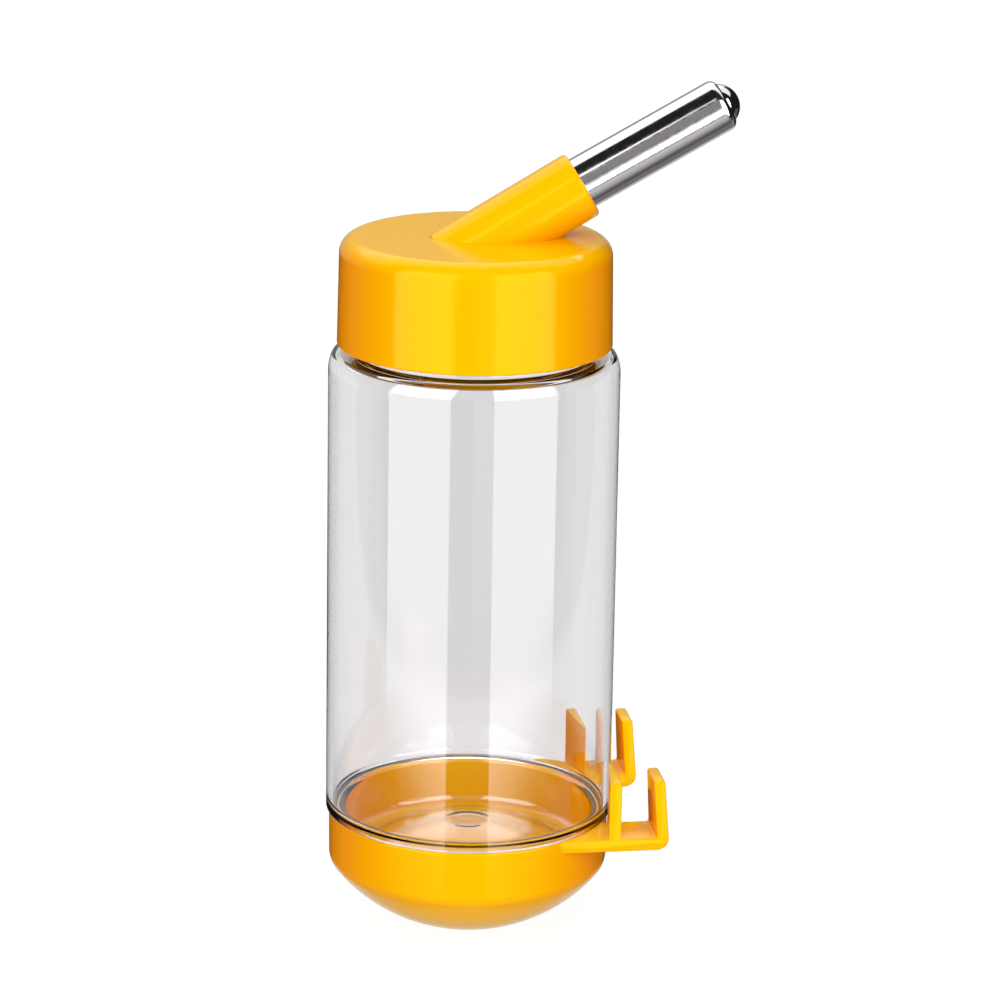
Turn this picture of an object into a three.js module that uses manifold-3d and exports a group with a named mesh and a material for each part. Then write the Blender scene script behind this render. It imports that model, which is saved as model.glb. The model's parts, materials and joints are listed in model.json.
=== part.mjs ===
// Hanging water bottle for a rabbit: a clear bottle pushed into a holder cup with two wire hooks, and
// closed by a screw cap whose slanted socket carries a steel drinking tube with a sprung ball valve.
//
// Millimetres. The origin is the centre of the holder's flat base, +Z runs up the bottle's axis, and
// +X points to the hooks and the drinking tube.

import * as THREE from "three";
import { mergeVertices } from "three/addons/utils/BufferGeometryUtils.js";
import Module from "manifold-3d";

const wasm = await Module();
wasm.setup();

// ---------------------------------------------------------------- driving dimensions

const LARGE_FACETS = 40; // round the bottle, the cap and the holder
const SMALL_FACETS = 24; // round the drinking tube and what fits it

// Holder cup: a flat base, a domed underside, a tight shoulder and a nearly straight wall.
const CUP_WALL = 1.8;
const CUP_RADIUS = 31.8; // where the wall starts
const CUP_RIM_RADIUS = 31.86;
const CUP_WALL_START = 15.03;
const CUP_RIM = 25.62;
const CUP_SHOULDER = 4.1;
const CUP_DOME = 37.8;
const CUP_BLEND = 38; // degrees of turn in the shoulder

// Hooks: two arms with an upright prong at the end and a post next to the bottle.
const HOOK_OFFSET = 20.7; // from the middle plane to each arm
const ARM_WIDTH = 11.7;
const ARM_BOTTOM = 22.66;
const ARM_TOP = 25.52;
const ARM_START = 15; // inside the cup's outline, cut away by the cup's bore
const PRONG_OUTSIDE = 41.95;
const PRONG_OUTSIDE_TOP = 41;
const PRONG_INSIDE = 39.24;
const PRONG_INSIDE_TOP = 38.45;
const PRONG_TOP = 38.73;
const PRONG_NARROWING = 0.8; // top width over bottom width
const HOOK_CORNER = 2.7;
const HOOK_EDGE = 0.6;
const POST_OUTSIDE = 31;
const POST_THICKNESS = 2.8; // at its outer end
const POST_TAPER = 2; // less thickness at the end near the middle plane
const POST_NEAR = 12.3; // the post's two ends, measured from the middle plane
const POST_FAR = 26.5;
const POST_TOP = 38.9;
const POST_CLEARANCE_RADIUS = 33;

// Bottle: a stepped-down spigot with a pushed-up bottom, a long body, a shoulder and a threaded neck.
const BOTTLE_WALL = 1.5;
const BODY_RADIUS = 32.5; // at the shoulder
const BODY_FOOT_RADIUS = 32.55; // at the step that rests on the holder's rim
const STEP_HEIGHT = 25.72;
const STEP_EDGE = 0.4;
const SPIGOT_RADIUS = 29.6;
const HEEL_RADIUS = 4;
const HEEL_BOTTOM = 14;
const HEEL_BLEND = 30; // degrees of slope where the heel meets the pushed-up bottom
const SHOULDER_START = 128.3;
const SHOULDER_RADIUS = 8;
const SHOULDER_TURN = 25; // degrees, before the tighter corner
const CORNER_RADIUS = 1.6;
const CORNER_TURN = 85; // degrees, where the shoulder's flat top starts
const NECK_FOOT = 132.9;
const NECK_RADIUS = 27;
const NECK_WALL = 1.8;
const NECK_TOP = 153.9;

// Screw thread between the neck and the cap: single start, right-hand.
const PITCH = 4;
const THREAD_TURNS = 1.5;
const THREAD_ROOT_WIDTH = 1.5;
const THREAD_CREST_WIDTH = 0.7;
const THREAD_SUNK = 0.4; // how far the bar is sunk into the wall that carries it
const THREAD_RUN_OUT = 0.06; // share of the length over which each end fades into the wall
const NECK_THREAD_CREST = 28.1;
const NECK_THREAD_START = 139;
const CAP_THREAD_CREST = 27.35;

// Cap: a smooth skirt and a flat top with a large rounded edge.
const CAP_BOTTOM = 134.44;
const CAP_TOP = 158.5;
const CAP_BOTTOM_RADIUS = 30.6;
const CAP_TOP_RADIUS = 30.23;
const CAP_EDGE = 3.8;
const CAP_BORE = 28.45;
const CAP_CEILING = 156.1;

// Gasket between the neck's lip and the cap's ceiling.
const GASKET_INSIDE = 24.9;
const GASKET_OUTSIDE = 28.1;
const GASKET_BOTTOM = 154;
const GASKET_TOP = 156;

// Socket moulded on the cap. It climbs towards +X, and heights along it count from its origin.
const SOCKET_X = 4.05;
const SOCKET_Z = 158.47;
const SOCKET_RISE = 30.6; // degrees above horizontal
const SOCKET_RADIUS = 7.7;
const SOCKET_END = 22.5;
const SOCKET_EDGE = 0.7;
const SOCKET_START = -12; // inside the cap's top

// Spout axis: the drinking tube's and its bore's. It lies a little flatter than the socket.
const SPOUT_X = 3.68;
const SPOUT_Z = 159.12;
const SPOUT_RISE = 29.2;
const SPOUT_BORE = 6.27;
const BOSS_RADIUS = 8.9; // the thicker root inside the cap
const BOSS_END = -21.5;
const SEAL_BORE = 7.35;
const SEAL_BORE_END = -16.5;

// Drinking tube, rolled in at both ends.
const TUBE_RADIUS = 5.97;
const TUBE_BORE = 5.12;
const TUBE_REAR = -22.7;
const TUBE_REAR_LIP = 4.5; // radius inside the lip that keeps the spring's seat in
const TUBE_REAR_EDGE = 0.4;
const ROLL_RADIUS = 2;
const ROLL_CENTRE = 57; // height of the tip's rolled edge centre
const ROLL_TURN = 62; // degrees

// Ball, its spring, the spring's seat and the tube's seal.
const BALL_RADIUS = 4.94;
const BALL_CENTRE = 56.8;
const SEAT_GAP = 0.1; // between the ball and the tip's seat
const SEAT_MOUTH = 4.7; // radius of the seat's outer edge
const SPRING_WIRE = 0.35; // radius
const SPRING_RADIUS = 3.4; // of the coil's centre line
const SPRING_REAR = -18.9;
const SPRING_FRONT = 52.5;
const SPRING_TURNS = 15;
const COIL_GAP = 0.1; // between the closed end coils
const PLUG_RADIUS = 4.85;
const PLUG_REAR = -21.5;
const PLUG_FRONT = -19.6;
const PLUG_GAP = 0.3; // between the seat and the tube's rear lip
const PLUG_NOSE_RADIUS = 2.2;
const PLUG_NOSE = 2; // length
const PLUG_HOLES = 5;
const PLUG_HOLE_RADIUS = 0.95;
const PLUG_HOLE_CIRCLE = 3.5;
const SEAL_INSIDE = 6.12;
const SEAL_OUTSIDE = 7.2;
const SEAL_REAR = -21.2;
const SEAL_FRONT = -16.8;

// ---------------------------------------------------------------- helpers

const radians = THREE.MathUtils.degToRad;

// Profile points of an arc. Angles are in degrees, from the radial direction towards +Z.
function arc(radial, height, radius, from, to, steps) {
  return Array.from({ length: steps + 1 }, (_, i) => {
    const angle = radians(from + ((to - from) * i) / steps);
    return [radial + radius * Math.cos(angle), height + radius * Math.sin(angle)];
  });
}

// A solid of revolution about Z from a profile of [radius, height] points that runs anticlockwise.
function turned(profile, facets) {
  const points = profile.map(([r, z]) => new THREE.Vector2(r, z));
  return new THREE.LatheGeometry(points, facets).rotateX(Math.PI / 2);
}

function cylinder(radius, bottom, top, facets) {
  return turned([[0, bottom], [radius, bottom], [radius, top], [0, top]], facets);
}

function ring(inside, outside, bottom, top, facets) {
  const corners = [[inside, bottom], [outside, bottom], [outside, top], [inside, top], [inside, bottom]];
  return turned(corners, facets);
}

function toSolid(geometry) {
  geometry.deleteAttribute("normal");
  geometry.deleteAttribute("uv");
  const merged = mergeVertices(geometry, 1e-4);
  const triVerts = new Uint32Array(merged.index.array);
  const vertProperties = merged.attributes.position.array;
  return new wasm.Manifold(new wasm.Mesh({ numProp: 3, vertProperties, triVerts }));
}

function toGeometry(solid) {
  const { vertProperties, triVerts } = solid.getMesh();
  const geometry = new THREE.BufferGeometry();
  geometry.setAttribute("position", new THREE.BufferAttribute(vertProperties, 3));
  geometry.setIndex(new THREE.BufferAttribute(triVerts, 1));
  geometry.computeVertexNormals();
  return geometry;
}

function piece(name, geometry, material) {
  const mesh = new THREE.Mesh(geometry, new THREE.MeshStandardMaterial(material));
  mesh.name = name;
  return mesh;
}

// A right-hand screw thread: a straight bar of trapezoid section, bent round a helix. The section's
// height points down so that the bent bar keeps its faces turned outwards.
function thread(root, crest, start) {
  const section = new THREE.Shape();
  section.moveTo(root, -THREAD_ROOT_WIDTH / 2);
  section.lineTo(crest, -THREAD_CREST_WIDTH / 2);
  section.lineTo(crest, THREAD_CREST_WIDTH / 2);
  section.lineTo(root, THREAD_ROOT_WIDTH / 2);
  const steps = LARGE_FACETS * THREAD_TURNS;
  const bar = new THREE.ExtrudeGeometry(section, { depth: 1, steps, bevelEnabled: false });
  const point = bar.attributes.position;
  for (let i = 0; i < point.count; i++) {
    const along = point.getZ(i);
    const turns = along * THREAD_TURNS;
    const fade = Math.min(1, along / THREAD_RUN_OUT, (1 - along) / THREAD_RUN_OUT);
    const radius = root + (point.getX(i) - root) * Math.max(0.1, fade);
    const angle = turns * 2 * Math.PI;
    const height = start + turns * PITCH - point.getY(i);
    point.setXYZ(i, radius * Math.cos(angle), radius * Math.sin(angle), height);
  }
  return toSolid(bar);
}

// Frames whose local +Z runs out along the drinking tube, and along the socket that holds it.
const spoutTurn = radians(90 - SPOUT_RISE);
const spoutFrame = new THREE.Matrix4().makeRotationY(spoutTurn).setPosition(SPOUT_X, 0, SPOUT_Z);
const socketTurn = radians(90 - SOCKET_RISE);
const socketFrame = new THREE.Matrix4().makeRotationY(socketTurn).setPosition(SOCKET_X, 0, SOCKET_Z);

function onSpout(geometry) {
  return toSolid(geometry.applyMatrix4(spoutFrame));
}

// ---------------------------------------------------------------- holder

// The cup's dome, shoulder and wall, offset inwards by the given distance, from its floor to its rim.
function cupSide(inset, floor) {
  const shoulderR = CUP_RADIUS - CUP_SHOULDER;
  const reach = CUP_DOME - CUP_SHOULDER;
  const domeR = shoulderR - reach * Math.cos(radians(CUP_BLEND));
  const domeZ = CUP_WALL_START + reach * Math.sin(radians(CUP_BLEND));
  const dome = CUP_DOME - inset;
  const start = THREE.MathUtils.radToDeg(Math.asin((floor - domeZ) / dome));
  return [
    ...arc(domeR, domeZ, dome, start, -CUP_BLEND, 6),
    ...arc(shoulderR, CUP_WALL_START, CUP_SHOULDER - inset, -CUP_BLEND, 0, 4).slice(1),
    [CUP_RIM_RADIUS - inset, CUP_RIM],
  ];
}

function hookArm(side) {
  const bendBottom = ARM_TOP + HOOK_EDGE;
  const outline = new THREE.Shape();
  outline.moveTo(ARM_START, ARM_BOTTOM);
  outline.lineTo(PRONG_OUTSIDE - HOOK_CORNER, ARM_BOTTOM);
  outline.quadraticCurveTo(PRONG_OUTSIDE, ARM_BOTTOM, PRONG_OUTSIDE, ARM_BOTTOM + HOOK_CORNER);
  outline.lineTo(PRONG_OUTSIDE_TOP, PRONG_TOP - HOOK_EDGE);
  outline.quadraticCurveTo(PRONG_OUTSIDE_TOP, PRONG_TOP, PRONG_OUTSIDE_TOP - HOOK_EDGE, PRONG_TOP);
  outline.lineTo(PRONG_INSIDE_TOP + HOOK_EDGE, PRONG_TOP);
  outline.quadraticCurveTo(PRONG_INSIDE_TOP, PRONG_TOP, PRONG_INSIDE_TOP, PRONG_TOP - HOOK_EDGE);
  outline.lineTo(PRONG_INSIDE, bendBottom);
  outline.quadraticCurveTo(PRONG_INSIDE, ARM_TOP, PRONG_INSIDE - HOOK_EDGE, ARM_TOP);
  outline.lineTo(ARM_START, ARM_TOP);
  const bar = new THREE.ExtrudeGeometry(outline, {
    depth: ARM_WIDTH,
    steps: 1,
    curveSegments: 4,
    bevelEnabled: false,
  });
  bar.translate(0, 0, -ARM_WIDTH / 2);
  bar.rotateX(Math.PI / 2);
  const point = bar.attributes.position;
  for (let i = 0; i < point.count; i++) {
    const climb = Math.max(0, point.getZ(i) - ARM_TOP) / (PRONG_TOP - ARM_TOP);
    point.setY(i, point.getY(i) * (1 - (1 - PRONG_NARROWING) * climb));
  }
  return toSolid(bar.translate(0, side * HOOK_OFFSET, 0));
}

function hookPost(side) {
  const inside = POST_OUTSIDE - POST_THICKNESS;
  const section = new THREE.Shape();
  section.moveTo(POST_OUTSIDE, side * POST_NEAR);
  section.lineTo(POST_OUTSIDE, side * POST_FAR);
  section.lineTo(inside, side * POST_FAR);
  section.lineTo(inside + POST_TAPER, side * POST_NEAR);
  const height = POST_TOP - ARM_BOTTOM;
  const post = new THREE.ExtrudeGeometry(section, { depth: height, steps: 1, bevelEnabled: false });
  return toSolid(post.translate(0, 0, ARM_BOTTOM));
}

function holderCup() {
  const outside = cupSide(0, 0);
  const inside = cupSide(CUP_WALL, CUP_WALL).reverse();
  const cup = toSolid(turned([[0, 0], ...outside, ...inside, [0, CUP_WALL]], LARGE_FACETS));
  // What the hooks leave free: the cup's bore below the rim and the bottle above it.
  const bore = CUP_RADIUS - CUP_WALL / 2;
  const freeProfile = [
    [0, CUP_WALL_START],
    [bore, CUP_WALL_START],
    [bore, ARM_TOP],
    [POST_CLEARANCE_RADIUS, ARM_TOP],
    [POST_CLEARANCE_RADIUS, POST_TOP + 1],
    [0, POST_TOP + 1],
  ];
  const free = toSolid(turned(freeProfile, LARGE_FACETS));
  return [-1, 1].reduce(
    (holder, side) => holder.add(hookArm(side).add(hookPost(side)).subtract(free)),
    cup,
  );
}

// ---------------------------------------------------------------- bottle

// The pushed-up bottom and the heel, offset into the bottle by the given distance, from the axis out.
function bottleBottom(inset) {
  const heelR = SPIGOT_RADIUS - HEEL_RADIUS;
  const heelZ = HEEL_BOTTOM + HEEL_RADIUS;
  const pushR = heelR / Math.sin(radians(HEEL_BLEND)) - HEEL_RADIUS + inset;
  const pushZ = heelZ - heelR / Math.tan(radians(HEEL_BLEND));
  return [
    ...arc(0, pushZ, pushR, 90, 90 - HEEL_BLEND, 5),
    ...arc(heelR, heelZ, HEEL_RADIUS - inset, -90 - HEEL_BLEND, 0, 6).slice(1),
  ];
}

// The shoulder's gentle curve and its tighter corner, offset into the bottle, from the body up.
function bottleShoulder(inset) {
  const centre = BODY_RADIUS - SHOULDER_RADIUS;
  const reach = SHOULDER_RADIUS - CORNER_RADIUS;
  const cornerR = centre + reach * Math.cos(radians(SHOULDER_TURN));
  const cornerZ = SHOULDER_START + reach * Math.sin(radians(SHOULDER_TURN));
  return [
    ...arc(centre, SHOULDER_START, SHOULDER_RADIUS - inset, 0, SHOULDER_TURN, 3),
    ...arc(cornerR, cornerZ, CORNER_RADIUS - inset, SHOULDER_TURN, CORNER_TURN, 3).slice(1),
  ];
}

function bottle() {
  const neckBore = NECK_RADIUS - NECK_WALL;
  const outside = [
    ...bottleBottom(0),
    [SPIGOT_RADIUS, STEP_HEIGHT],
    [BODY_FOOT_RADIUS - STEP_EDGE, STEP_HEIGHT],
    [BODY_FOOT_RADIUS, STEP_HEIGHT + STEP_EDGE],
    ...bottleShoulder(0),
    [NECK_RADIUS, NECK_FOOT],
    [NECK_RADIUS, NECK_TOP],
  ];
  const inside = [
    [neckBore, NECK_TOP],
    [neckBore, NECK_FOOT - BOTTLE_WALL],
    ...bottleShoulder(BOTTLE_WALL).reverse(),
    [BODY_FOOT_RADIUS - BOTTLE_WALL, STEP_HEIGHT + 2 * BOTTLE_WALL],
    [SPIGOT_RADIUS - BOTTLE_WALL, STEP_HEIGHT],
    ...bottleBottom(BOTTLE_WALL).reverse(),
  ];
  const shell = toSolid(turned([...outside, ...inside], LARGE_FACETS));
  return shell.add(thread(NECK_RADIUS - THREAD_SUNK, NECK_THREAD_CREST, NECK_THREAD_START));
}

// ---------------------------------------------------------------- cap

function cap() {
  const profile = [
    [0, CAP_CEILING],
    [CAP_BORE, CAP_CEILING],
    [CAP_BORE, CAP_BOTTOM],
    [CAP_BOTTOM_RADIUS, CAP_BOTTOM],
    ...arc(CAP_TOP_RADIUS - CAP_EDGE, CAP_TOP - CAP_EDGE, CAP_EDGE, 0, 90, 5),
    [0, CAP_TOP],
  ];
  const shell = toSolid(turned(profile, LARGE_FACETS));
  const capThread = thread(CAP_BORE + THREAD_SUNK, CAP_THREAD_CREST, NECK_THREAD_START - PITCH / 2);

  const socketProfile = [
    [0, SOCKET_START],
    [SOCKET_RADIUS, SOCKET_START],
    ...arc(SOCKET_RADIUS - SOCKET_EDGE, SOCKET_END - SOCKET_EDGE, SOCKET_EDGE, 0, 90, 3),
    [0, SOCKET_END],
  ];
  const socket = toSolid(turned(socketProfile, SMALL_FACETS).applyMatrix4(socketFrame));

  // The thicker root stays under the cap's top.
  const plate = (CAP_CEILING + CAP_TOP) / 2;
  const under = new THREE.BoxGeometry(4 * CAP_BORE, 4 * CAP_BORE, CAP_TOP);
  under.translate(0, 0, plate - CAP_TOP / 2);
  const boss = onSpout(cylinder(BOSS_RADIUS, BOSS_END, SOCKET_END, SMALL_FACETS));

  const bore = onSpout(cylinder(SPOUT_BORE, BOSS_END - 1, SOCKET_END + 1, SMALL_FACETS));
  const sealBore = onSpout(cylinder(SEAL_BORE, BOSS_END - 1, SEAL_BORE_END, SMALL_FACETS));
  return shell
    .add(capThread)
    .add(boss.intersect(toSolid(under)))
    .add(socket)
    .subtract(bore)
    .subtract(sealBore);
}

// ---------------------------------------------------------------- drinking tube and valve (spout frame)

function drinkingTube() {
  const rollR = TUBE_RADIUS - ROLL_RADIUS;
  const seatRadius = BALL_RADIUS + SEAT_GAP;
  const seatTop = THREE.MathUtils.radToDeg(Math.acos(SEAT_MOUTH / seatRadius));
  const profile = [
    [TUBE_REAR_LIP, TUBE_REAR],
    [TUBE_RADIUS - TUBE_REAR_EDGE, TUBE_REAR],
    [TUBE_RADIUS, TUBE_REAR + TUBE_REAR_EDGE],
    ...arc(rollR, ROLL_CENTRE, ROLL_RADIUS, 0, ROLL_TURN, 5),
    ...arc(0, BALL_CENTRE, seatRadius, seatTop, 0, 4),
    [TUBE_BORE, BALL_CENTRE],
    [TUBE_BORE, PLUG_REAR - PLUG_GAP],
    [TUBE_REAR_LIP, PLUG_REAR - 2 * PLUG_GAP],
    [TUBE_REAR_LIP, TUBE_REAR],
  ];
  return turned(profile, SMALL_FACETS);
}

// The spring's centre line: closed end coils and an open middle.
class SpringLine extends THREE.Curve {
  getPoint(t, target = new THREE.Vector3()) {
    const angle = t * SPRING_TURNS * 2 * Math.PI;
    const closed = (2 * SPRING_WIRE + COIL_GAP) * SPRING_TURNS;
    const open = SPRING_FRONT - SPRING_REAR - closed;
    return target.set(
      SPRING_RADIUS * Math.cos(angle),
      SPRING_RADIUS * Math.sin(angle),
      SPRING_REAR + closed * t + open * THREE.MathUtils.smoothstep(t, 0.04, 0.96),
    );
  }
}

function ballSpring() {
  const section = new THREE.Shape();
  section.absarc(0, 0, SPRING_WIRE, 0, 2 * Math.PI);
  return new THREE.ExtrudeGeometry(section, {
    steps: SPRING_TURNS * 9,
    curveSegments: 3,
    extrudePath: new SpringLine(),
    bevelEnabled: false,
  });
}

function springSeat() {
  const profile = [
    [0, PLUG_REAR],
    [PLUG_RADIUS, PLUG_REAR],
    [PLUG_RADIUS, PLUG_FRONT],
    [PLUG_NOSE_RADIUS, PLUG_FRONT],
    [PLUG_NOSE_RADIUS, PLUG_FRONT + PLUG_NOSE],
    [0, PLUG_FRONT + PLUG_NOSE],
  ];
  let plug = toSolid(turned(profile, SMALL_FACETS));
  for (let i = 0; i < PLUG_HOLES; i++) {
    const angle = (i * 2 * Math.PI) / PLUG_HOLES;
    const hole = cylinder(PLUG_HOLE_RADIUS, PLUG_REAR - 1, PLUG_FRONT + 1, 10);
    hole.translate(PLUG_HOLE_CIRCLE * Math.cos(angle), PLUG_HOLE_CIRCLE * Math.sin(angle), 0);
    plug = plug.subtract(toSolid(hole));
  }
  return toGeometry(plug);
}

function tipBall() {
  const ball = new THREE.SphereGeometry(BALL_RADIUS, SMALL_FACETS, SMALL_FACETS / 2);
  return ball.rotateX(Math.PI / 2).translate(0, 0, BALL_CENTRE);
}

// ---------------------------------------------------------------- assembly

const yellowPlastic = { color: 0xf2b705, roughness: 0.25, metalness: 0 };
const clearPlastic = { color: 0xe9eef0, roughness: 0.06, metalness: 0, transparent: true, opacity: 0.3 };
const steel = { color: 0xc8cacc, roughness: 0.15, metalness: 1 };
const springSteel = { color: 0x9b9ea1, roughness: 0.3, metalness: 1 };
const rubber = { color: 0x3b3b3d, roughness: 0.8, metalness: 0 };
const whitePlastic = { color: 0xe6e6e0, roughness: 0.5, metalness: 0 };

const waterBottle = new THREE.Group();
waterBottle.add(
  piece("holder_cup", toGeometry(holderCup()), yellowPlastic),
  piece("bottle", toGeometry(bottle()), clearPlastic),
  piece("cap", toGeometry(cap()), yellowPlastic),
  piece(
    "cap_gasket",
    ring(GASKET_INSIDE, GASKET_OUTSIDE, GASKET_BOTTOM, GASKET_TOP, LARGE_FACETS),
    rubber,
  ),
);

const spout = new THREE.Group();
spout.position.set(SPOUT_X, 0, SPOUT_Z);
spout.rotation.y = spoutTurn;
spout.add(
  piece("drinking_tube", drinkingTube(), steel),
  piece("tube_seal", ring(SEAL_INSIDE, SEAL_OUTSIDE, SEAL_REAR, SEAL_FRONT, SMALL_FACETS), rubber),
  piece("spring_seat", springSeat(), whitePlastic),
  piece("ball_spring", ballSpring(), springSteel),
  piece("tip_ball", tipBall(), steel),
);
waterBottle.add(spout);

export default waterBottle;
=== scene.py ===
import json
import math

import bmesh
import bpy
from mathutils import Matrix, Vector


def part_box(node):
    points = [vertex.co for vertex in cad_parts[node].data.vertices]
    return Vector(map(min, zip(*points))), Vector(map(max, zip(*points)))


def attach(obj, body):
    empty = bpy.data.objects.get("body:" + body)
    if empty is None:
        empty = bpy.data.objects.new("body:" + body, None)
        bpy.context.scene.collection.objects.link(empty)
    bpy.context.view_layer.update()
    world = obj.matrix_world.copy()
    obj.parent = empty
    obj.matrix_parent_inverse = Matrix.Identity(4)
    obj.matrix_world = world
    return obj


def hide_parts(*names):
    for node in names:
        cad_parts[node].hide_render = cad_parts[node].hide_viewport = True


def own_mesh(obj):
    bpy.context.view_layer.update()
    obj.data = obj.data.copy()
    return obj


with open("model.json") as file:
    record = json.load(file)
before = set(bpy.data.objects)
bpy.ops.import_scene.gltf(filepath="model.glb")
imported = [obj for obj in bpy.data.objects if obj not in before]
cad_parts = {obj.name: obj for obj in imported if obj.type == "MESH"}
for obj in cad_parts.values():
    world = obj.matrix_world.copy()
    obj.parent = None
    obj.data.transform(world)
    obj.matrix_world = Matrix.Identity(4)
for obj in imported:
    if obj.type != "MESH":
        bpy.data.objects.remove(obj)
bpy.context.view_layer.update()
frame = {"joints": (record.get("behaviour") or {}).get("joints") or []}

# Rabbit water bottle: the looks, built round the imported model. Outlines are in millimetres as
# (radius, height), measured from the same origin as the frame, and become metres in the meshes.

MM = 0.001


def low(node):
    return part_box(node)[0] / MM


def high(node):
    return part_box(node)[1] / MM


# ------------------------------------------------------------------ sizes

ROUND = 192  # facets round the bottle, the cap and the holder
FINE = 96  # facets round the drinking tube and what fits it
ON_AXIS = 1e-6  # profile points with a smaller radius lie on the axis
PAST = 1.0  # how far cutting shapes reach past what they cut
SHARP_ANGLE = 35.0  # degrees; steeper edges are shaded sharp

BODY_FOOT_RADIUS = high("bottle").x
BODY_RADIUS = BODY_FOOT_RADIUS - 0.05
BODY_FOOT_EDGE = 0.4
BOTTLE_WALL = 1.5
STEP_HEIGHT = 25.72
STEP_CHAMFER = 0.3
LEDGE = 1.1  # wall thickness at the step
LEDGE_HOLLOW = 1.8  # inside radii of the ledge's outer and inner corners
LEDGE_ROUND = 1.1
SPIGOT_RADIUS = 29.6
HEEL_RADIUS = 4.0
HEEL_BOTTOM = 14.0
HEEL_BLEND = 30.0  # degrees of slope where the heel meets the pushed-up bottom
GATE_DEPTH = 0.15
GATE_RADIUS = 2.2
GATE_RING_RADIUS = 4.6
GATE_RING_WIDTH = 0.9
GATE_RING_SHARE = 0.45  # the ring's height over the mark's depth
SHOULDER_START = 128.3
SHOULDER_RADIUS = 8.0
SHOULDER_TURN = 25.0
CORNER_RADIUS = 1.6
CORNER_LEAST = 0.5  # the inside corner stays at least this round
CORNER_SHIFT_IN = 0.8  # and its centre moves by these shares of the added radius
CORNER_SHIFT_DOWN = 0.7
CORNER_TURN = 85.0
NECK_FOOT = 132.9
NECK_FILLET = 0.6
NECK_FILLET_END = 268.0  # degrees, where the fillet runs into the shoulder
NECK_RADIUS = 27.0
NECK_WALL = 1.8
NECK_TOP = high("bottle").z
NECK_EDGE = 0.4

PITCH = 4.0
THREAD_TURNS = 1.5
THREAD_HALF_WIDTH = 0.75
THREAD_FLANK = 0.4
THREAD_RUN_OUT = 0.09  # turns over which each end fades
THREAD_LEAD = 1.0  # finely divided wall below and above the thread's start
THREAD_REACH = 7.0
THREAD_STEPS = 44
NECK_THREAD_CREST = 28.1
NECK_THREAD_START = 139.0
CAP_THREAD_CREST = 27.35

CAP_BOTTOM = low("cap").z
CAP_BOTTOM_RADIUS = high("cap").y
CAP_TOP_RADIUS = CAP_BOTTOM_RADIUS - 0.37
CAP_EDGE = 3.8
CAP_LIP = 0.3
CAP_BORE_EDGE = 0.4
CAP_BORE_FILLET = 0.6
CAP_BORE = 28.45
CAP_CEILING = high("cap_gasket").z + 0.1
CAP_PLATE = 2.4
CAP_TOP = CAP_CEILING + CAP_PLATE

CUP_WALL = 1.8
CUP_RIM_RADIUS = high("holder_cup").y
CUP_RADIUS = CUP_RIM_RADIUS - 0.06
CUP_WALL_START = 15.03
CUP_RIM = STEP_HEIGHT - 0.1
CUP_SHOULDER = 4.1
CUP_DOME = 37.8
CUP_BLEND = 38.0
CUP_LIP = 0.35
CUP_GATE_RADIUS = 4.5  # a low round boss in the middle of the cup's floor
CUP_GATE_SLOPE = 0.3
CUP_GATE_HEIGHT = 0.5

HOOK_OFFSET = 20.7
ARM_START = 15.0
ARM_WIDTH = 11.7
ARM_BOTTOM = 22.66
ARM_TOP = 25.52
PRONG_OUTSIDE = high("holder_cup").x
PRONG_INSIDE = 39.24
PRONG_OUTSIDE_LEAN = 0.95  # how far each side of the prong leans in at its top
PRONG_INSIDE_LEAN = 0.79
PRONG_NARROWING = 0.2  # share of its width that the prong loses at its top
PRONG_TOP = 38.73
HOOK_CORNER = 2.7
HOOK_EDGE = 0.6
ARM_BEVEL = 0.45
POST_BEVEL = 0.35
POST_FOOT = ARM_BOTTOM + 0.5
POST_OUTSIDE = 31.0
POST_THICKNESS = 2.8
POST_TAPER = 2.0
POST_NEAR = 12.3
POST_FAR = 26.5
POST_TOP = high("holder_cup").z
POST_CLEARANCE_RADIUS = 33.0

# The drinking tube's axis comes from the ball's joint. The socket's own axis is a little steeper.
BALL_RADIUS = 4.94
BALL_HEIGHT = 56.8
ball_joint = next(j for j in frame["joints"] if j["name"] == "ball_press")
SPOUT_DIRECTION = -Vector(ball_joint["axis"]).normalized()
ball_centre = (low("tip_ball") + high("tip_ball")) / 2
SPOUT_ORIGIN = ball_centre - SPOUT_DIRECTION * BALL_HEIGHT
SOCKET_ORIGIN = Vector((4.05, 0, CAP_TOP - 0.03))
SOCKET_RISE = math.radians(30.6)
SOCKET_DIRECTION = Vector((math.cos(SOCKET_RISE), 0, math.sin(SOCKET_RISE)))
SOCKET_RADIUS = 7.7
SOCKET_START = -12.0
SOCKET_END = 22.5
SOCKET_EDGE = 0.8
SPOUT_BORE = 6.1
BOSS_RADIUS = 8.9
BOSS_END = -21.5
SEAL_BORE = 7.35
SEAL_BORE_END = -16.5
TUBE_RADIUS = 5.96
TUBE_BORE = 5.12
TUBE_REAR = -22.7
TUBE_REAR_LIP = 4.5
TUBE_REAR_EDGE = 0.4
TUBE_LIP_THICKNESS = 0.6
TUBE_LIP_SLOPE = 0.3
SEAT_STEP = 0.1
SEAT_GAP = 0.08  # between the ball and its seat in the tube's tip
MOUTH_RADIUS = 4.68
ROLL_RADIUS = 2.0
ROLL_HEIGHT = 57.0
ROLL_TURN = 64.0
GASKET_BORE = 24.9
GASKET_EDGE = 0.35
SEAL_INSIDE = 6.12
SEAL_OUTSIDE = 7.2
SEAL_BOTTOM = -21.2
SEAL_TOP = -16.8
SEAL_EDGE = 0.25
PLUG_RADIUS = 4.85
PLUG_REAR = -21.5
PLUG_FRONT = -19.6
PLUG_EDGE = 0.3
PLUG_NOSE_RADIUS = 2.2
PLUG_NOSE_LENGTH = 2.0
PLUG_NOSE_EDGE = 0.5
PLUG_NOSE_CHAMFER = 0.2
PLUG_HOLES = 5
PLUG_HOLE_RADIUS = 0.95
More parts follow.
